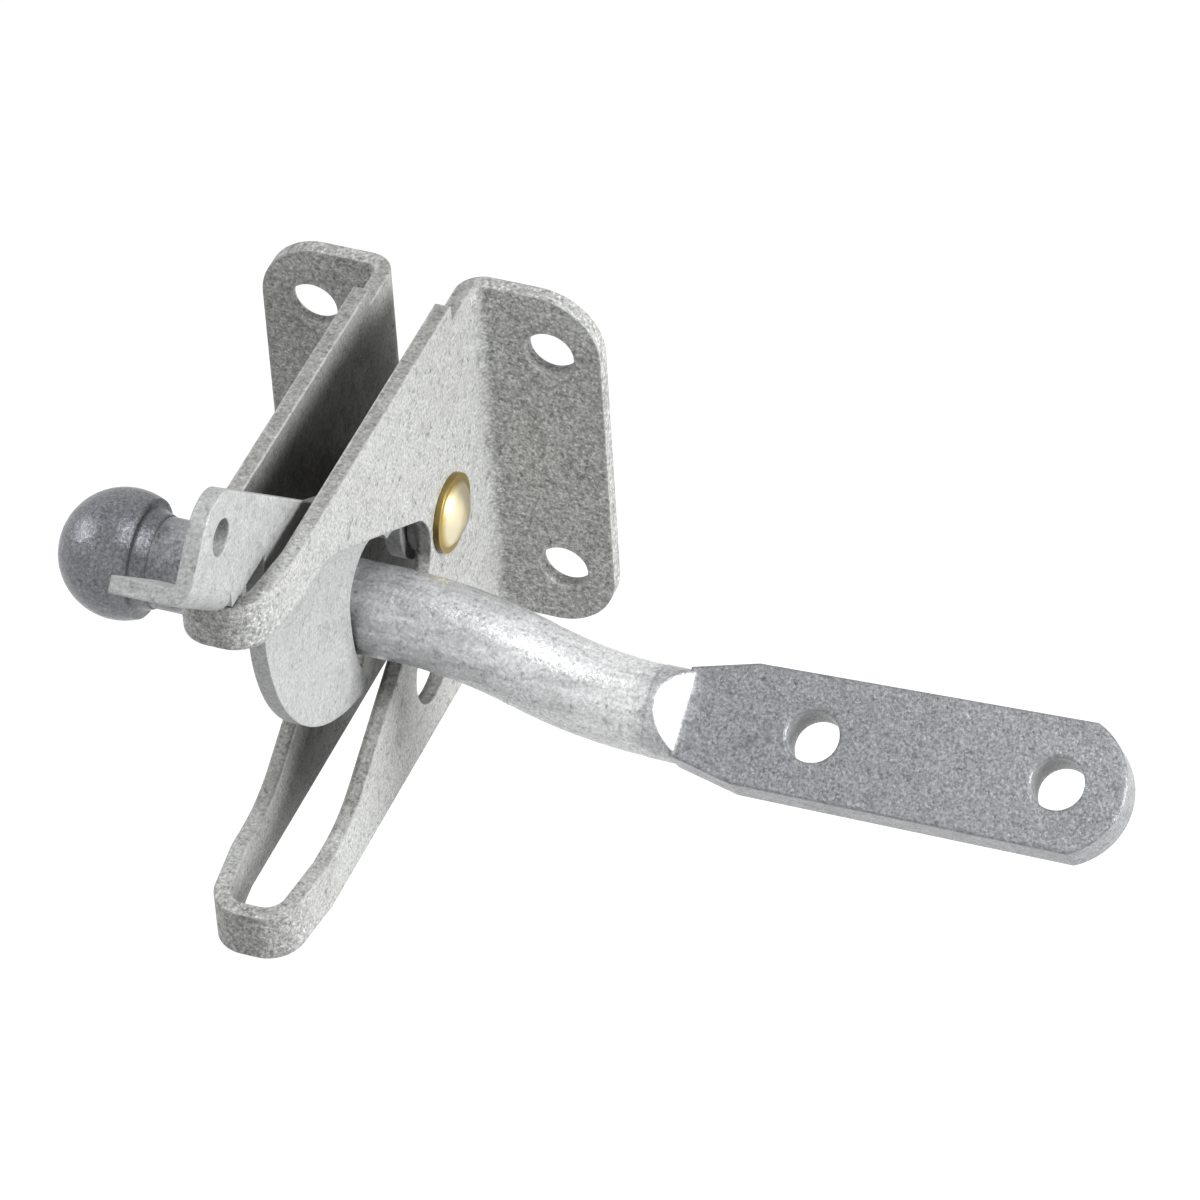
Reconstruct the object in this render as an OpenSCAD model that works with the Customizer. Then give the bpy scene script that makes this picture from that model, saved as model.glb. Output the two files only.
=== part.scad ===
// Automatic gate latch: a folded steel bracket with two jaws, a gravity pawl on a
// brass rivet, and a striker bar that the pawl holds in the jaws.
// Millimetres. +X runs along the striker bar, +Y into the post, +Z up.
// The post face is the plane Y = 0 and X = 0 lies midway between the cheeks.

/* [Bracket] */
// sheet thickness of the bracket
sheet_t = 2.25; // [2.1:0.05:2.4]
// width over the outer faces of the cheeks
bracket_w = 14; // [13.8:0.1:15]
// how far the nose reaches in front of the post face
bracket_reach = 75.2; // [74.8:0.1:76]
// height of the cheeks from top edge to bottom edge
cheek_h = 62.4; // [61.6:0.2:63]
// height of the nose strap and of the lower strap
strap_h = 7.3; // [6.8:0.1:7.8]
// width of the nose where its front face meets the taper lines
nose_w = 11.2; // [10.8:0.1:12]
// length over which the cheeks close in towards the nose
nose_taper = 12.2; // [11:0.2:14]
// outside radius of the two bends at the nose
nose_bend_r = 5; // [4.6:0.1:5.2]
// inside radius where a cheek turns into its flange
flange_bend_r = 1.6; // [1:0.1:2]

/* [Flanges] */
// width over both flanges
flange_span = 49.2; // [48:0.2:52]
// height of the flanges
flange_h = 57.2; // [55:0.2:58]
// radius of the outer flange corners
flange_corner_r = 9; // [6:0.5:10]
// distance from the post face to the step in the cheek edges
step_reach = 10.3; // [8:0.1:11]
// screw hole diameter in the flanges
screw_d = 7.1; // [5.5:0.1:7.6]
// screw hole spacing across the bracket
screw_x = 34.4; // [33.4:0.2:35]
// screw hole spacing up the bracket
screw_z = 38.1; // [34:0.1:39]

/* [Mouth] */
// distance from the post face to the back of the mouth
mouth_back = 22.6; // [22.2:0.1:23]
// radius at the back of the mouth
mouth_back_r = 7.7; // [7.4:0.1:7.9]
// slope of the jaw edges
jaw_slope = 31.8; // [31.2:0.1:33]
// radius where a jaw edge levels out at the front
jaw_front_r = 18; // [15:0.5:20]
// padlock hole diameter in the lower jaw
padlock_d = 12.7; // [8:0.1:13]
// padlock hole centre in front of the post face
padlock_reach = 24.6; // [23.5:0.1:26]
// padlock hole centre below the middle of the bracket
padlock_drop = 19.6; // [19.2:0.1:20]

/* [Pivot] */
// distance from the post face to the pivot
pivot_reach = 16.3; // [16:0.1:16.6]
// rivet shank diameter
rivet_d = 6.35; // [5.6:0.05:6.6]
// rivet head diameter
rivet_head_d = 11.2; // [9.6:0.2:12]
// height of the rivet head's rim
rivet_rim_h = 0.9; // [0.6:0.1:1.3]
// diameter of the dome on the rivet head
rivet_dome_d = 9.4; // [8:0.2:9.6]
// height of the dome above the rim
rivet_dome_h = 1.8; // [1.2:0.1:2]
// diameter of the peened end on the far cheek
rivet_tail_d = 9.6; // [8.4:0.2:10.4]
// height of the peened end
rivet_tail_h = 1.8; // [1.2:0.1:2]
// outside diameter of the spacer sleeve
sleeve_d = 10; // [9:0.2:11]
// outside diameter of the washer
washer_d = 12; // [10:0.5:13]
// thickness of the washer
washer_t = 1.35; // [1.2:0.05:1.5]

/* [Pawl] */
// plate thickness of the pawl
pawl_t = 2.4; // [2.2:0.1:2.6]
// radius of the pawl's round rear end
pawl_boss_r = 7.4; // [7:0.1:7.8]
// radius of the lobe that the striker bar rides up
ramp_r = 33.4; // [33.1:0.1:33.7]
// lobe centre in front of the pivot
ramp_reach = 17.3; // [17.1:0.1:17.6]
// lobe centre above the pivot
ramp_rise = 18.9; // [18.7:0.1:19.2]
// radius of the hollow above the striker bar
crown_r = 6.8; // [6.6:0.1:7]
// hollow centre in front of the pivot
crown_reach = 18.2; // [18:0.1:18.3]
// hollow centre above the pivot
crown_rise = 1.5; // [1.2:0.1:1.8]
// tip of the hook in front of the pivot
tip_reach = 20.3; // [20.1:0.1:20.8]
// tip of the hook below the pivot
tip_drop = 12.5; // [12:0.1:12.8]
// slope of the blunt tip
tip_slope = 33; // [30:1:36]
// slope of the thumb end
thumb_slope = 42.5; // [42:0.1:43]
// length from the pivot to the front of the thumb end
thumb_len = 80.4; // [80:0.1:81.4]
// height of the thumb end above the tab's bend
thumb_h = 12.8; // [12:0.1:13]
// offset of the thumb end's upper edge from the pivot
thumb_drop = 1.7; // [1.5:0.1:1.9]
// radius of the thumb end's upper corner
thumb_corner_r = 6; // [4:0.5:6.5]
// width of the thumb tab along the pawl
tab_w = 15.5; // [14:0.1:15.6]
// how far the tab stands out from the pawl's outer face
tab_reach = 11.1; // [9:0.1:12]
// inside radius of the tab's bend
tab_bend_r = 0.7; // [0.5:0.1:1]
// cord hole diameter
cord_d = 5.1; // [4:0.1:5.6]
// cord hole distance from the front of the thumb end
cord_inset = 6.2; // [5.6:0.1:7]
// cord hole height above the tab's bend
cord_rise = 6.65; // [6:0.05:7]

/* [Striker] */
// striker bar diameter
bar_d = 12.7; // [12.4:0.1:12.8]
// bar axis in front of the post face
bar_reach = 34.1; // [34:0.1:34.2]
// bar axis below the middle of the bracket
bar_drop = 3.55; // [3.45:0.05:3.55]
// turn of the striker about the bar axis
striker_turn = 32.1; // [0:0.1:60]
// ball diameter
ball_d = 18.2; // [17.4:0.1:19]
// distance from the middle plane to the ball's centre
ball_reach = 33.3; // [32:0.1:36]
// distance from the ball's centre to its flat rear face
ball_cut = 3.6; // [3:0.1:4.4]
// largest diameter of the collar behind the ball
collar_d = 15; // [14:0.1:15.6]
// length of the collar
collar_len = 2; // [1.4:0.1:2.6]
// distance from the middle plane to the start of the jog
jog_start = 7.4; // [7.2:0.1:8]
// length of the jog along the bar
jog_len = 37.1; // [36:0.1:38]
// sideways drop of the jog
jog_drop = 5.5; // [5.2:0.1:5.8]
// turn of the jog's plane from the plane of the flat end
jog_turn = 39; // [35:1:42]
// length of the slope from the round bar down to the flat
forge_len = 4.7; // [3.8:0.1:5.4]
// length of the flat end
flat_len = 61.5; // [60:0.5:64]
// thickness of the flat end
flat_t = 5.6; // [5:0.1:6]
// width of the flat end where it leaves the bar
flat_start_w = 12.4; // [12:0.1:12.6]
// width of the flat end at the shoulder
flat_mid_w = 16.8; // [16:0.1:17.4]
// width of the flat end at its tip
flat_end_w = 18.3; // [17.6:0.1:19]
// length of the taper from bar to shoulder
flat_taper = 9; // [8:0.5:11]
// lean of the flat end back towards the bar's line
flat_lean = 1.7; // [0:0.1:2.5]
// radius of the arc across the tip of the flat end
flat_tip_r = 9.9; // [9.7:0.1:12]
// screw hole diameter in the flat end
gate_hole_d = 7.25; // [5.5:0.05:7.6]
// first screw hole from the start of the flat
gate_hole_start = 18.5; // [17:0.5:20]
// screw hole spacing in the flat end
gate_hole_space = 33.7; // [32:0.1:34.5]

/* [Fits] */
// radial clearance of the rivet in the cheeks
rivet_fit = 0.05; // [0.03:0.01:0.08]
// radial clearance of the pawl on the rivet
pawl_fit = 0.08; // [0.05:0.01:0.1]
// radial clearance of the sleeve and the washer on the rivet
ring_fit = 0.1; // [0.05:0.01:0.15]
// clearance on each face of the pawl
side_gap = 0.3; // [0.25:0.05:0.4]
// clearance between the hook and the striker bar
hook_gap = 0.5; // [0.4:0.05:0.6]
// clearance between the resting pawl and the nose strap
rest_gap = 0.5; // [0.4:0.05:0.7]

/* [Hidden] */
$fn = 72;
over = 1;
half_w = bracket_w / 2;
inner_w = half_w - sheet_t;
cheek_top = cheek_h / 2;
front_y = -bracket_reach;
taper_y = front_y + nose_taper;
taper_angle = atan((half_w - nose_w / 2) / nose_taper);
nose_bend_y = front_y + nose_bend_r;
nose_bend_x = nose_w / 2 - nose_bend_r * (1 - sin(taper_angle)) / cos(taper_angle);
bend_out_r = flange_bend_r + sheet_t;
bend_x = half_w + flange_bend_r;
bend_y = -bend_out_r;
mouth_top = cheek_top - strap_h;
mouth_y = -mouth_back - mouth_back_r;
jaw_rise = mouth_top - jaw_front_r;
jaw_y = mouth_y - (jaw_rise + (jaw_front_r - mouth_back_r) / cos(jaw_slope)) / tan(jaw_slope);
pawl_x1 = inner_w - washer_t - side_gap;
pawl_x0 = pawl_x1 - pawl_t;
shoulder_z = cheek_top + rest_gap;
thumb_fold = -thumb_drop - thumb_h;
tab_thin = 0.05;
tab_root = 2;
tab_t = pawl_t - tab_thin;
tab_bend_out = tab_bend_r + tab_t;
kink_along = -thumb_len / 2;
lobe_reach = bracket_reach - pivot_reach;
hook_r = norm([bar_reach - pivot_reach, bar_drop]) + bar_d / 2 + hook_gap;
kink = [kink_along * cos(thumb_slope) - thumb_drop * sin(thumb_slope),
        -kink_along * sin(thumb_slope) - thumb_drop * cos(thumb_slope)];
dome_r = (pow(rivet_dome_d / 2, 2) + pow(rivet_dome_h, 2)) / (2 * rivet_dome_h);
tail_r = (pow(rivet_tail_d / 2, 2) + pow(rivet_tail_h, 2)) / (2 * rivet_tail_h);
jog_angle = 2 * atan(jog_drop / jog_len);
jog_r = jog_len / (2 * sin(jog_angle));
flat_x = jog_start + jog_len;
collar_sink = 0.5;
collar_lip = 0.4;
bend_thin = 0.1;
bend_lap = 0.3;
forge_sink = 0.4;

// lays a drawing made in the side view (Y, Z) upright and gives it thickness along X
module side_plate(x0, x1) {
    translate([x0, 0, 0]) rotate([90, 0, 90]) linear_extrude(height = x1 - x0) children();
}

// a bore or pin along X at a place in the side view
module side_round(y, z, d, x0, x1) {
    translate([x0, y, z]) rotate([0, 90, 0]) cylinder(d = d, h = x1 - x0);
}

// area inside the folded strip's outer face (inset 0) or inner face (inset sheet_t)
module strip_area(inset, back) {
    edge = half_w - inset;
    bend_r = nose_bend_r - inset;
    kink_y = taper_y + inset * tan(taper_angle / 2);
    touch = bend_r * [cos(taper_angle), -sin(taper_angle)];
    polygon([
        [edge, back],
        [edge, kink_y],
        [nose_bend_x + touch[0], nose_bend_y + touch[1]],
        [nose_bend_x, nose_bend_y - bend_r],
        [-nose_bend_x, nose_bend_y - bend_r],
        [-nose_bend_x - touch[0], nose_bend_y + touch[1]],
        [-edge, kink_y],
        [-edge, back]
    ]);
    for (s = [-1, 1]) translate([s * nose_bend_x, nose_bend_y]) circle(r = bend_r);
}

// one flange with its bend, seen from above, on the +X side
module flange_plan() {
    difference() {
        intersection() {
            translate([bend_x, bend_y]) circle(r = bend_out_r);
            translate([bend_x - bend_out_r, bend_y]) square(bend_out_r);
        }
        translate([bend_x, bend_y]) circle(r = flange_bend_r);
    }
    translate([bend_x, -sheet_t]) square([flange_span / 2 - bend_x, sheet_t]);
}

// front view of a flange with two round outer corners, on the +X side
module flange_front() {
    corner_x = flange_span / 2 - flange_corner_r;
    corner_z = flange_h / 2 - flange_corner_r;
    translate([0, -flange_h / 2]) square([corner_x, flange_h]);
    translate([0, -corner_z]) square([flange_span / 2, 2 * corner_z]);
    for (s = [-1, 1]) translate([corner_x, s * corner_z]) circle(r = flange_corner_r);
}

// the open mouth between the jaws, in the side view
module mouth() {
    back = mouth_back_r * [sin(jaw_slope), cos(jaw_slope)];
    front = jaw_front_r * [sin(jaw_slope), cos(jaw_slope)];
    translate([mouth_y, 0]) circle(r = mouth_back_r);
    for (s = [-1, 1]) translate([jaw_y, s * jaw_rise]) circle(r = jaw_front_r);
    polygon([
        [mouth_y + back[0], back[1]],
        [jaw_y + front[0], jaw_rise + front[1]],
        [jaw_y, mouth_top],
        [front_y - over, mouth_top],
        [front_y - over, -mouth_top],
        [jaw_y, -mouth_top],
        [jaw_y + front[0], -jaw_rise - front[1]],
        [mouth_y + back[0], -back[1]]
    ]);
}

// cheeks and nose as one folded strip, stepped down next to the flanges
module cheeks() {
    difference() {
        translate([0, 0, -cheek_top]) linear_extrude(height = cheek_h) difference() {
            strip_area(0, bend_y);
            strip_area(sheet_t, bend_y + over);
        }
        for (s = [0, 1]) mirror([0, 0, s])
            translate([-half_w - over, -step_reach, flange_h / 2])
                cube([bracket_w + 2 * over, step_reach, cheek_h]);
    }
}

module flanges() {
    for (s = [0, 1]) mirror([s, 0, 0]) intersection() {
        translate([0, 0, -flange_h / 2]) linear_extrude(height = flange_h) flange_plan();
        translate([0, over, 0]) rotate([90, 0, 0])
            linear_extrude(height = bend_out_r + 2 * over) flange_front();
    }
}

module latch_bracket() {
    color("#b9bdc0") difference() {
        union() {
            cheeks();
            flanges();
        }
        side_plate(-half_w - over, half_w + over) mouth();
        side_round(-pivot_reach, 0, rivet_d + 2 * rivet_fit, -half_w - over, half_w + over);
        side_round(-padlock_reach, -padlock_drop, padlock_d, -half_w - over, half_w + over);
        for (x = [-screw_x / 2, screw_x / 2], z = [-screw_z / 2, screw_z / 2])
            translate([x, over, z]) rotate([90, 0, 0]) cylinder(d = screw_d, h = sheet_t + 2 * over);
    }
}

// thumb end of the pawl, drawn level with the pivot at the origin
module thumb_outline() {
    back = kink_along + tab_root;
    front = -thumb_len + thumb_corner_r;
    translate([front, thumb_fold]) square([back - front, thumb_h]);
    translate([-thumb_len, thumb_fold]) square([thumb_corner_r, thumb_h - thumb_corner_r]);
    translate([front, -thumb_drop - thumb_corner_r]) circle(r = thumb_corner_r);
}

// flat outline of the pawl in the side view, with the pivot at the origin
module pawl_outline() {
    difference() {
        union() {
            rotate(-thumb_slope) thumb_outline();
            polygon([
                [0, pawl_boss_r - over],
                kink,
                [-lobe_reach, shoulder_z + thumb_h / 2],
                [-lobe_reach, -ramp_r],
                [-crown_reach, -ramp_r],
                [-crown_reach, crown_rise + crown_r / 2],
                [-pawl_boss_r, crown_r / 2],
                [0, 0]
            ]);
        }
        // everything outside the lobe goes, up to the shoulder above the nose strap
        difference() {
            translate([-2 * thumb_len, -2 * ramp_r]) square([2 * thumb_len, shoulder_z + 2 * ramp_r]);
            translate([-ramp_reach, ramp_rise]) circle(r = ramp_r);
        }
        translate([-crown_reach, crown_rise]) circle(r = crown_r);
        // hook face, an arc about the pivot so that the hook lifts clear of the bar
        intersection() {
            circle(r = hook_r);
            translate([-hook_r - over, -hook_r - over]) square([hook_r + over, hook_r + over + crown_rise]);
        }
        translate([-tip_reach, -tip_drop]) rotate(tip_slope)
            translate([-hook_r, -hook_r]) square([2 * hook_r, hook_r]);
    }
    circle(r = pawl_boss_r);
}

// the tab, folded along the lower edge of the thumb end towards -X and a little thinner in the bend
module thumb_tab() {
    bend_x0 = pawl_x0 - tab_bend_r;
    rotate([-thumb_slope, 0, 0]) translate([0, tab_w - thumb_len, 0]) rotate([90, 0, 0])
        linear_extrude(height = tab_w) {
            intersection() {
                difference() {
                    translate([bend_x0, thumb_fold]) circle(r = tab_bend_out);
                    translate([bend_x0, thumb_fold]) circle(r = tab_bend_r);
                }
                translate([bend_x0, thumb_fold - tab_bend_out]) square(tab_bend_out);
            }
            translate([pawl_x1 - tab_reach, thumb_fold - tab_bend_out])
                square([tab_reach - pawl_t - tab_bend_r, tab_t]);
            translate([pawl_x0, thumb_fold]) square([tab_t, tab_root]);
        }
}

module latch_pawl() {
    color("#c3c6c8") translate([0, -pivot_reach, 0]) difference() {
        union() {
            side_plate(pawl_x0, pawl_x1) pawl_outline();
            thumb_tab();
        }
        side_round(0, 0, rivet_d + 2 * pawl_fit, pawl_x0 - over, pawl_x1 + over);
        rotate([-thumb_slope, 0, 0])
            side_round(cord_inset - thumb_len, thumb_fold + cord_rise, cord_d,
                pawl_x0 - over, pawl_x1 + over);
    }
}

// a round cap cut from a ball, standing on the plane Z = 0
module cap(r, h) {
    intersection() {
        translate([0, 0, h - r]) sphere(r = r);
        cylinder(r = r, h = h + over);
    }
}

// rivet with a rimmed, domed head on the +X cheek and a peened end on the other
module pivot_rivet() {
    color("#c9a24a") translate([0, -pivot_reach, 0]) rotate([0, 90, 0]) {
        translate([0, 0, -half_w]) cylinder(d = rivet_d, h = bracket_w);
        translate([0, 0, half_w]) cylinder(d = rivet_head_d, h = rivet_rim_h);
        translate([0, 0, half_w + rivet_rim_h]) cap(dome_r, rivet_dome_h);
        translate([0, 0, -half_w]) mirror([0, 0, 1]) cap(tail_r, rivet_tail_h);
    }
}

// ring on the rivet, between two places along X
module rivet_ring(d, x0, x1) {
    difference() {
        side_round(-pivot_reach, 0, d, x0, x1);
        side_round(-pivot_reach, 0, rivet_d + 2 * ring_fit, x0 - over, x1 + over);
    }
}

module spacer_sleeve() {
    color("#9fa3a6") rivet_ring(sleeve_d, -inner_w, pawl_x0 - side_gap);
}

module thrust_washer() {
    color("#a7abae") rivet_ring(washer_d, inner_w - washer_t, inner_w);
}

// the ball, cut flat where the collar leaves it, with the collar
module striker_ball() {
    rotate([0, 90, 0]) {
        difference() {
            sphere(d = ball_d);
            translate([0, 0, ball_cut]) cylinder(d = 2 * ball_d, h = ball_d);
        }
        translate([0, 0, ball_cut - collar_sink])
            cylinder(d1 = collar_d, d2 = bar_d + collar_lip, h = collar_len + collar_sink);
    }
}

// two opposite bends that set the flat end off the bar's line, each drawn a little thinner
module jog() {
    translate([jog_start, -jog_r, 0]) rotate([0, 0, 90 - jog_angle])
        rotate_extrude(angle = jog_angle + bend_lap) translate([jog_r, 0]) circle(d = bar_d - bend_thin);
    translate([flat_x, jog_r - jog_drop, 0]) rotate([0, 0, 270 - jog_angle - bend_lap])
        rotate_extrude(angle = jog_angle + 2 * bend_lap)
            translate([jog_r, 0]) circle(d = bar_d - 2 * bend_thin);
}

// round bar end, sloped on both sides down to the flat
module forged_end() {
    intersection() {
        rotate([0, 90, 0]) cylinder(d = bar_d, h = forge_len);
        translate([0, bar_d, 0]) rotate([90, 0, 0]) linear_extrude(height = 2 * bar_d) polygon([
            [-over, -bar_d / 2 - over],
            [-over, bar_d / 2 + over],
            [0, bar_d / 2 + over],
            [forge_len, flat_t / 2 - forge_sink],
            [forge_len, forge_sink - flat_t / 2],
            [0, -bar_d / 2 - over]
        ]);
    }
}

// outline of the flat end, from the bar to the tip, where one arc cuts the two long edges
module flat_outline() {
    arc_x = flat_len - flat_tip_r;
    intersection() {
        polygon([
            [0, -flat_start_w / 2],
            [0, flat_start_w / 2],
            [flat_taper, flat_mid_w / 2],
            [flat_len + over, flat_end_w / 2],
            [flat_len + over, -flat_end_w / 2],
            [flat_taper, -flat_mid_w / 2]
        ]);
        union() {
            translate([-over, -flat_end_w]) square([arc_x + over, 2 * flat_end_w]);
            translate([arc_x, 0]) circle(r = flat_tip_r);
        }
    }
}

module flat_end() {
    translate([forge_len - over, 0, 0]) rotate([0, 0, flat_lean]) difference() {
        translate([0, 0, -flat_t / 2]) linear_extrude(height = flat_t) flat_outline();
        for (x = [gate_hole_start, gate_hole_start + gate_hole_space])
            translate([x, 0, -flat_t]) cylinder(d = gate_hole_d, h = 2 * flat_t);
    }
}

module striker_bar() {
    color("#aeb2b6") translate([0, -bar_reach, -bar_drop]) rotate([striker_turn, 0, 0]) {
        translate([-ball_reach, 0, 0]) striker_ball();
        translate([-ball_reach, 0, 0]) rotate([0, 90, 0])
            cylinder(d = bar_d, h = ball_reach + jog_start);
        rotate([jog_turn, 0, 0]) jog();
        translate([flat_x, -jog_drop * cos(jog_turn), -jog_drop * sin(jog_turn)]) {
            forged_end();
            flat_end();
        }
    }
}

latch_bracket();
latch_pawl();
pivot_rivet();
spacer_sleeve();
thrust_washer();
striker_bar();
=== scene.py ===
import bpy
from mathutils import Matrix, Vector

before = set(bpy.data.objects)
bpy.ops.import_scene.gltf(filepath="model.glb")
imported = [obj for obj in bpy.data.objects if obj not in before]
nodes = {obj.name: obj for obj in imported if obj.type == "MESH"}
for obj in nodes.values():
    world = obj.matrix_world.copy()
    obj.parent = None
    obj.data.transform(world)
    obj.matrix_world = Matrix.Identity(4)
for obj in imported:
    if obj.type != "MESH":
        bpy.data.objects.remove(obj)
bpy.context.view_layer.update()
scene = bpy.context.scene
scene.view_settings.view_transform = "Standard"

# Lengths are in metres in the CAD frame: X along the bar to the flat end, Y into the post, Z up.
# Colours are linear. A pair is a fade: the place where it starts and the place where it is complete.

# Noises: scale, detail and roughness
CLOUD = (45.0, 5.0, 0.65)
GRAIN = (2300.0, 2.0, 0.6)
PIT = (900.0, 5.0, 0.8)
STAIN = (170.0, 8.0, 0.85)
EDGE_MARK = (300.0, 4.0, 0.7)
LUMP = (420.0, 4.0, 0.6)
CUT_EDGE = (500.0, 5.0, 0.75)
STREAK = (1000.0, 3.0, 0.6)
SCALE_LINE = (90.0, 4.0, 0.6)
TARNISH = (240.0, 4.0, 0.6)
BRASS_LINE = (700.0, 2.0, 0.5)
MOTTLE_DETAIL, MOTTLE_ROUGH = 6.0, 0.8
SHEET_MOTTLE_SCALE, FORGING_MOTTLE_SCALE = 1600.0, 2600.0
CRYSTAL_SCALE = 620.0
LENGTHWISE = (0.07, 1.0, 1.0)  # stretch of the streaks along the bar
CROSSWISE = (4.0, 1.0, 1.0)    # stretch of the fine lines on the brass

# Bracket: places of its areas, the first four as a distance from the channel's middle
CUT_EDGE_BEGINS = (0.0049, 0.0051)
CUT_EDGE_ENDS = (0.0069, 0.0067)
FLANGE_BEGINS = (0.0074, 0.0082)
CHANNEL_INSIDE = (0.0056, 0.0049)
CUT_EDGE_Y = (-0.058, -0.052)
NOSE_FRONT_Y = (-0.067, -0.071)
LOWER_LOOP_Z = (-0.008, -0.020)
LOWER_LOOP_Y = (-0.066, -0.045)
LOWER_LOOP_SHADE_SHARE = 0.7
BARE_STEEL = (0.24, 0.235, 0.22, 1.0)
CHANNEL_PAINTED_SHADE = (0.035, 0.033, 0.026, 1.0)

# Striker: places along X, and how much of each colour shows there
BAR_PAINTED_LIGHT_FADE = (0.004, 0.042)
BALL_BEGINS = (-0.019, -0.025)
FLAT_BEGINS = (0.044, 0.050)
SCALE_LINE_WANDER = 0.004
BAR_PAINTED_LIGHT_SHARE, BALL_SHARE, FLAT_SHARE = 0.85, 0.95, 0.88
BAR_PAINTED_LIGHT = (0.92, 0.925, 0.93, 1.0)
FORGED_BALL = (0.235, 0.245, 0.27, 1.0)
FORGED_FLAT = (0.285, 0.295, 0.315, 1.0)
FORGING_PAINTED_SHADE = (0.06, 0.06, 0.06, 1.0)

# Pawl and rings
GAP_PAINTED_SHADE = (0.06, 0.058, 0.05, 1.0)

# Rivet
RIVET_AXIS_Y = -0.0163
RIVET_HEAD_R = 0.0055
RIM_BEGINS = (0.74 * RIVET_HEAD_R, 0.84 * RIVET_HEAD_R)
PALE_BRASS = (0.71, 0.645, 0.455, 1.0)
DULL_BRASS = (0.64, 0.53, 0.285, 1.0)
RIM_BRASS = (0.46, 0.345, 0.115, 1.0)
BRASS_PAINTED_SHADE = (0.06, 0.04, 0.01, 1.0)

# Stage
FLOOR_Z = -0.16
FLOOR_HALF = 4
FLOOR_GREY = (0.5, 0.5, 0.5, 1.0)
FLOOR_GLOW = 0.67
WORLD_FILL = 0.10
LATCH_MIDDLE = (0.03, -0.04, 0.0)


class Nodes:
    """Adds linked shader nodes to one new material."""

    def __init__(self, name):
        self.material = bpy.data.materials.new(name)
        self.material.use_nodes = True
        self.tree = self.material.node_tree
        self.surface = self.tree.nodes["Principled BSDF"]
        self.where = self.add("ShaderNodeTexCoord").outputs["Object"]

    def add(self, kind, **inputs):
        node = self.tree.nodes.new(kind)
        for name, value in inputs.items():
            self.put(node.inputs[name.replace("_", " ")], value)
        return node

    def put(self, socket, value):
        if isinstance(value, bpy.types.NodeSocket):
            self.tree.links.new(value, socket)
        else:
            socket.default_value = value

    def noise(self, scale, detail, rough, stretch=None):
        where = self.where
        if stretch is not None:
            mapping = self.add("ShaderNodeMapping", Vector=where, Scale=stretch)
            where = mapping.outputs["Vector"]
        node = self.add("ShaderNodeTexNoise", Vector=where, Scale=scale, Detail=detail, Roughness=rough)
        return node.outputs["Fac"]

    def cells(self, scale):
        """One random value from 0 to 1 in each cell."""
        colour = self.add("ShaderNodeTexVoronoi", Vector=self.where, Scale=scale).outputs["Color"]
        return self.add("ShaderNodeSeparateColor", Color=colour).outputs["Red"]

    def level(self, value, low, high, to_low=0.0, to_high=1.0):
        """Maps low..high to to_low..to_high, and keeps the end values outside it."""
        node = self.add("ShaderNodeMapRange", From_Min=low, From_Max=high, To_Min=to_low, To_Max=to_high)
        self.put(node.inputs["Value"], value)
        return node.outputs["Result"]

    def mix(self, share, a, b, blend="MIX"):
        node = self.tree.nodes.new("ShaderNodeMix")
        node.data_type = "RGBA"
        node.blend_type = blend
        # sockets 0, 6, 7 and output 2 are the ones that carry colours
        for socket, value in ((node.inputs[0], share), (node.inputs[6], a), (node.inputs[7], b)):
            self.put(socket, value)
        return node.outputs[2]

    def math(self, way, a, b=0.0):
        node = self.tree.nodes.new("ShaderNodeMath")
        node.operation = way
        self.put(node.inputs[0], a)
        self.put(node.inputs[1], b)
        return node.outputs[0]

    def vector(self, way, *values):
        node = self.tree.nodes.new("ShaderNodeVectorMath")
        node.operation = way
        for socket, value in zip(node.inputs, values):
            self.put(socket, value)
        return node.outputs["Value"]

    def along(self, axis):
        return self.add("ShaderNodeSeparateXYZ", Vector=self.where).outputs[axis]

    def soft_normal(self, radius):
        return self.add("ShaderNodeBevel", Radius=radius).outputs["Normal"]

    def edge(self, radius):
        """0 on open faces, rising to 1 on the edges."""
        flat = self.add("ShaderNodeNewGeometry").outputs["True Normal"]
        return self.level(self.vector("DOT_PRODUCT", self.soft_normal(radius), flat), 0.995, 0.85)

    def corners(self, reach, most):
        """0 on open faces, rising to most in narrow gaps and inside corners, where painted shade goes.
        """
        open_share = self.add("ShaderNodeAmbientOcclusion", Distance=reach)
        open_share.samples = 8
        return self.level(open_share.outputs["AO"], 0.8, 0.3, 0.0, most)

    def bump(self, height, strength, distance, radius):
        node = self.add("ShaderNodeBump", Height=height, Strength=strength, Distance=distance,
                        Normal=self.soft_normal(radius))
        self.put(self.surface.inputs["Normal"], node.outputs["Normal"])

    def finish(self, colour, rough, metal):
        for name, value in (("Base Color", colour), ("Roughness", rough), ("Metallic", metal)):
            self.put(self.surface.inputs[name], value)
        return self.material


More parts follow.
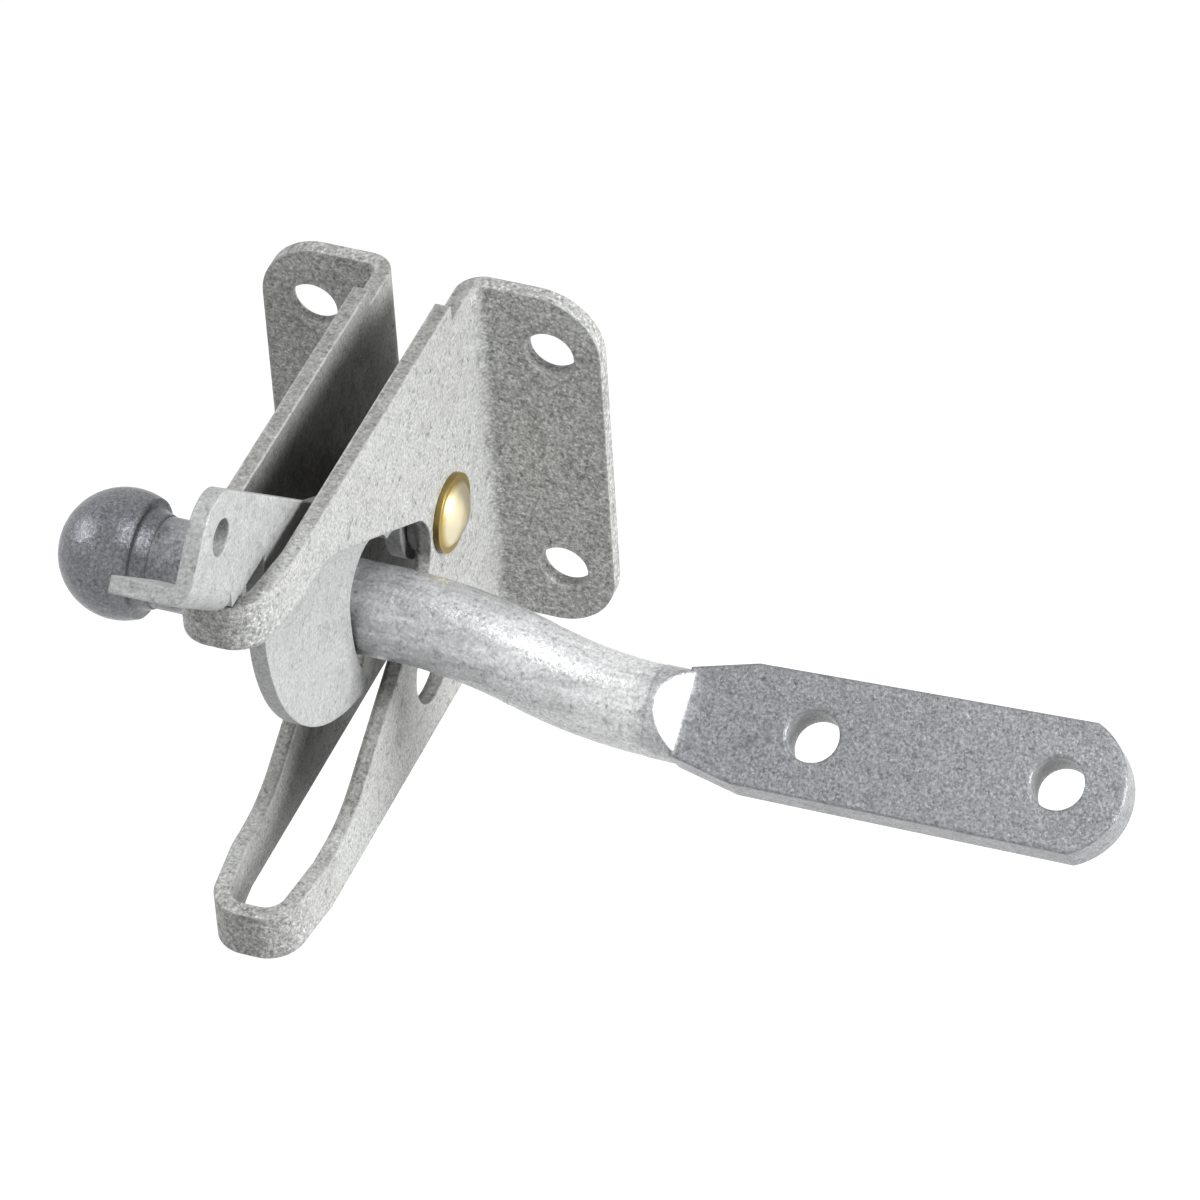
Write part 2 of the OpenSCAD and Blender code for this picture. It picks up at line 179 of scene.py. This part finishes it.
def galvanised(name, light, dark, wear_and_edge_shade, rough, metal, speckle, lump, round_edge, areas):
    """Zinc-dipped steel: clouding, small crystals, fine grain, pits, stains and an edge colour, which is
    rubbed wear where it is light and a painted dark reflection where it is dark.

    areas is a function that shades the piece's own areas over the clouded colour.
    It returns the new colour, and where painted shade lies, which is also made matte."""
    m = Nodes(name)
    cloud = m.level(m.noise(*CLOUD), 0.32, 0.68)
    crystal = m.cells(CRYSTAL_SCALE)
    colour = m.mix(m.level(crystal, 0.0, 1.0, 0.0, 0.2), m.mix(cloud, dark, light), wear_and_edge_shade)
    colour, painted_shade = areas(m, colour)

    pit = m.noise(*PIT)
    stain = m.noise(*STAIN)
    grain_tone = m.level(m.noise(*GRAIN), 0.3, 0.7, 1.0 + 0.4 * speckle, 1.0 - 0.6 * speckle)
    pit_tone = m.level(pit, 0.54, 0.7, 1.0, 1.0 - 1.2 * speckle)
    stain_tone = m.level(stain, 0.54, 0.72, 1.0, 1.0 - 0.8 * speckle)
    tone = m.math("MULTIPLY", m.math("MULTIPLY", grain_tone, pit_tone), stain_tone)
    colour = m.mix(1.0, colour, tone, "MULTIPLY")
    rubbed_and_shaded_edge = m.math("MULTIPLY", m.edge(round_edge), m.level(m.noise(*EDGE_MARK), 0.35, 0.6, 0.15, 0.8))
    colour = m.mix(rubbed_and_shaded_edge, colour, wear_and_edge_shade)

    roughness = m.math("ADD", m.level(crystal, 0.0, 1.0, rough - 0.05, rough + 0.05),
                       m.level(stain, 0.4, 0.7, -0.04, 0.08))
    height = m.math("ADD", m.noise(*LUMP), m.level(pit, 0.2, 0.8, 0.8, 0.0))
    m.bump(height, lump, 0.0003, round_edge)
    # Where the painted shade lies the surface reflects less and is not metallic
    m.put(m.surface.inputs["Specular IOR Level"], m.level(painted_shade, 0.0, 1.0, 0.5, 0.05))
    return m.finish(colour, roughness, m.level(painted_shade, 0.0, 1.0, metal, 0.0))


def mottled(m, colour, share, scale):
    """Rough dark and light patches under a millimetre across, where share is 1."""
    patch = m.level(m.noise(scale, MOTTLE_DETAIL, MOTTLE_ROUGH), 0.385, 0.615, 1.35, 0.47)
    return m.mix(share, colour, m.mix(1.0, colour, patch, "MULTIPLY"))


def sheet_areas(m, colour):
    """The bracket's darker cut edges, its rough flanges and nose, and painted shade in its channel.

    The painted shade is thinner towards the open sides of the channel, and darker towards the bottom of
    the lower loop."""
    side = m.math("ABSOLUTE", m.along("X"))
    in_sheet = m.math("MULTIPLY", m.level(side, *CUT_EDGE_BEGINS), m.level(side, *CUT_EDGE_ENDS))
    cut = m.math("MULTIPLY", in_sheet, m.level(m.along("Y"), *CUT_EDGE_Y))
    cut = m.math("MULTIPLY", cut, m.level(m.noise(*CUT_EDGE), 0.35, 0.65, 0.2, 0.75))
    colour = m.mix(cut, colour, BARE_STEEL)

    rough_skin = m.math("MAXIMUM", m.level(side, *FLANGE_BEGINS), m.level(m.along("Y"), *NOSE_FRONT_Y))
    colour = mottled(m, colour, rough_skin, SHEET_MOTTLE_SCALE)

    # Painted shade: darker towards the bottom of the lower loop, and in narrow gaps and inside corners
    # of the channel
    lower_loop = m.math("MULTIPLY", m.level(m.along("Z"), *LOWER_LOOP_Z, 0.0, LOWER_LOOP_SHADE_SHARE),
                        m.level(m.along("Y"), *LOWER_LOOP_Y))
    shade_depth = m.math("MAXIMUM", m.corners(reach=0.022, most=0.97), lower_loop)
    painted_shade = m.math("MULTIPLY", m.level(side, *CHANNEL_INSIDE), shade_depth)
    return m.mix(painted_shade, colour, CHANNEL_PAINTED_SHADE), painted_shade


def forging_areas(m, colour):
    """Darker blue-grey on the striker's ball and flat end, which were heated and hammered.

    The drawn bar between them has lengthwise streaks, and painted light makes it brighter towards the
    flat end. Painted shade darkens the corners."""
    # Painted light: the bar is made brighter towards the flat end
    colour = m.mix(m.level(m.along("X"), *BAR_PAINTED_LIGHT_FADE, 0.0, BAR_PAINTED_LIGHT_SHARE), colour, BAR_PAINTED_LIGHT)
    streak = m.noise(*STREAK, stretch=LENGTHWISE)
    colour = m.mix(1.0, colour, m.level(streak, 0.3, 0.7, 0.8, 1.1), "MULTIPLY")

    wander = m.level(m.noise(*SCALE_LINE), 0.3, 0.7, -SCALE_LINE_WANDER, SCALE_LINE_WANDER)
    along = m.math("ADD", m.along("X"), wander)
    ball_end = m.level(along, *BALL_BEGINS, 0.0, BALL_SHARE)
    flat_end = m.level(along, *FLAT_BEGINS, 0.0, FLAT_SHARE)
    colour = m.mix(ball_end, colour, FORGED_BALL)
    colour = m.mix(flat_end, colour, FORGED_FLAT)
    colour = mottled(m, colour, m.math("MAXIMUM", ball_end, flat_end), FORGING_MOTTLE_SCALE)

    # Painted shade in the corners and gaps of the striker
    painted_shade = m.corners(reach=0.008, most=0.8)
    return m.mix(painted_shade, colour, FORGING_PAINTED_SHADE), painted_shade


def gap_areas(m, colour):
    """Painted shade in the narrow gaps between the pieces on the rivet."""
    painted_shade = m.corners(reach=0.006, most=0.7)
    return m.mix(painted_shade, colour, GAP_PAINTED_SHADE), painted_shade


def satin_brass(name):
    """Yellow brass, pale on the middle of the head and deeper gold towards its rim, with painted shade
    in the gap under the head.
    """
    m = Nodes(name)
    centred = m.add("ShaderNodeMapping", Vector=m.where, Location=(0.0, -RIVET_AXIS_Y, 0.0),
                    Scale=(0.0, 1.0, 1.0))
    from_axis = m.vector("LENGTH", centred.outputs["Vector"])
    tarnish = m.level(m.noise(*TARNISH), 0.45, 0.8)
    colour = m.mix(tarnish, PALE_BRASS, DULL_BRASS)
    colour = m.mix(m.level(from_axis, *RIM_BEGINS), colour, RIM_BRASS)
    # Painted shade in the gap under the head and around its rim
    colour = m.mix(m.corners(reach=0.009, most=1.0), colour, BRASS_PAINTED_SHADE)
    m.bump(m.noise(*BRASS_LINE, stretch=CROSSWISE), 0.08, 0.00005, 0.0003)
    return m.finish(colour, m.level(tarnish, 0.0, 1.0, 0.32, 0.42), 0.85)


def dress(node, material):
    """Puts the material in every slot of a CAD node."""
    mesh = nodes[node].data
    if not mesh.materials:
        mesh.materials.append(material)
    for i in range(len(mesh.materials)):
        mesh.materials[i] = material


sheet_look = galvanised(
    "zinc_sheet",
    light=(0.605, 0.615, 0.605, 1.0), dark=(0.52, 0.525, 0.505, 1.0), wear_and_edge_shade=(0.76, 0.765, 0.75, 1.0),
    rough=0.48, metal=0.18, speckle=0.64, lump=1.0, round_edge=0.0005, areas=sheet_areas)
plate_look = galvanised(
    "zinc_plate",
    light=(0.53, 0.54, 0.54, 1.0), dark=(0.47, 0.48, 0.475, 1.0), wear_and_edge_shade=(0.76, 0.765, 0.76, 1.0),
    rough=0.44, metal=0.25, speckle=0.45, lump=0.55, round_edge=0.0005, areas=gap_areas)
# The striker's edge colour is dark: a painted dark reflection along its rounded edges
forging_look = galvanised(
    "zinc_forging",
    light=(0.69, 0.70, 0.705, 1.0), dark=(0.57, 0.585, 0.60, 1.0), wear_and_edge_shade=(0.30, 0.31, 0.33, 1.0),
    rough=0.27, metal=0.42, speckle=0.5, lump=0.3, round_edge=0.0008, areas=forging_areas)
ring_look = galvanised(
    "zinc_ring",
    light=(0.40, 0.40, 0.40, 1.0), dark=(0.28, 0.28, 0.28, 1.0), wear_and_edge_shade=(0.50, 0.50, 0.50, 1.0),
    rough=0.4, metal=0.4, speckle=0.3, lump=0.3, round_edge=0.0003, areas=gap_areas)
dress("latch_bracket", sheet_look)
dress("latch_pawl", plate_look)
dress("striker_bar", forging_look)
dress("pivot_rivet", satin_brass("rivet_brass"))
dress("spacer_sleeve", ring_look)
dress("thrust_washer", ring_look)


def seen_directly(tree):
    """1 for rays from the camera, off metal or through glass, and 0 for light on the object."""
    rays = tree.nodes.new("ShaderNodeLightPath")
    share = rays.outputs["Is Camera Ray"]
    for name in ("Is Glossy Ray", "Is Transmission Ray"):
        either = tree.nodes.new("ShaderNodeMath")
        either.operation = "MAXIMUM"
        tree.links.new(share, either.inputs[0])
        tree.links.new(rays.outputs[name], either.inputs[1])
        share = either.outputs[0]
    return share


def pale_floor():
    """Floor well below the latch: white with a soft shadow where it is seen.

    For the light that it returns to the object it is plain grey."""
    mesh = bpy.data.meshes.new("floor")
    far = FLOOR_HALF
    corners = [(-far, -far, FLOOR_Z), (far, -far, FLOOR_Z), (far, far, FLOOR_Z), (-far, far, FLOOR_Z)]
    mesh.from_pydata(corners, [], [(0, 1, 2, 3)])
    obj = bpy.data.objects.new("floor", mesh)
    scene.collection.objects.link(obj)
    material = bpy.data.materials.new("pale_floor")
    material.use_nodes = True
    tree = material.node_tree
    tree.nodes.clear()
    out = tree.nodes.new("ShaderNodeOutputMaterial")
    blend = tree.nodes.new("ShaderNodeMixShader")
    matte = tree.nodes.new("ShaderNodeBsdfDiffuse")
    matte.inputs["Color"].default_value = FLOOR_GREY
    glow = tree.nodes.new("ShaderNodeEmission")
    glow.inputs["Strength"].default_value = FLOOR_GLOW
    shown = tree.nodes.new("ShaderNodeAddShader")
    tree.links.new(glow.outputs[0], shown.inputs[0])
    tree.links.new(matte.outputs[0], shown.inputs[1])
    tree.links.new(seen_directly(tree), blend.inputs[0])
    tree.links.new(matte.outputs[0], blend.inputs[1])
    tree.links.new(shown.outputs[0], blend.inputs[2])
    tree.links.new(blend.outputs[0], out.inputs["Surface"])
    mesh.materials.append(material)


def studio_world(fill):
    """White where it is seen, and an even fill light of the given strength on the object."""
    world = bpy.data.worlds.new("studio")
    world.use_nodes = True
    scene.world = world
    tree = world.node_tree
    ground = tree.nodes["Background"]
    ground.inputs["Color"].default_value = (1.0, 1.0, 1.0, 1.0)
    strength = tree.nodes.new("ShaderNodeMapRange")
    strength.inputs["To Min"].default_value = fill
    tree.links.new(seen_directly(tree), strength.inputs["Value"])
    tree.links.new(strength.outputs["Result"], ground.inputs["Strength"])


def lamp(name, place, power, size):
    """A round area lamp aimed at the middle of the latch."""
    data = bpy.data.lights.new(name, "AREA")
    data.energy = power
    data.shape = "DISK"
    data.size = size
    obj = bpy.data.objects.new(name, data)
    scene.collection.objects.link(obj)
    obj.location = place
    aim = Vector(LATCH_MIDDLE) - Vector(place)
    obj.rotation_euler = aim.to_track_quat("-Z", "Y").to_euler()


pale_floor()
studio_world(WORLD_FILL)
lamp("key", place=(0.95, -0.03, 0.36), power=11.0, size=0.45)
lamp("top", place=(0.34, -0.14, 0.95), power=3.8, size=0.3)
lamp("front", place=(-0.35, -0.9, 0.25), power=0.35, size=0.6)
lamp("rim", place=(-0.85, -0.1, 0.45), power=2.6, size=0.15)

# Camera fitted to the photograph
camera_data = bpy.data.cameras.new("camera")
camera_data.sensor_width = 36.0
camera_data.lens = 244.63
camera_data.clip_start = 0.05
camera_data.clip_end = 20.0
camera = bpy.data.objects.new("camera", camera_data)
scene.collection.objects.link(camera)
right = Vector((0.93126, 0.36099, -0.04943))
up = Vector((-0.20550, 0.63239, 0.74690))
back = Vector((0.30089, -0.68541, 0.66308))
camera_place = Vector((0.35972, -0.77094, 0.72005))
camera.matrix_world = Matrix((
    (right.x, up.x, back.x, camera_place.x),
    (right.y, up.y, back.y, camera_place.y),
    (right.z, up.z, back.z, camera_place.z),
    (0.0, 0.0, 0.0, 1.0),
))
scene.camera = camera
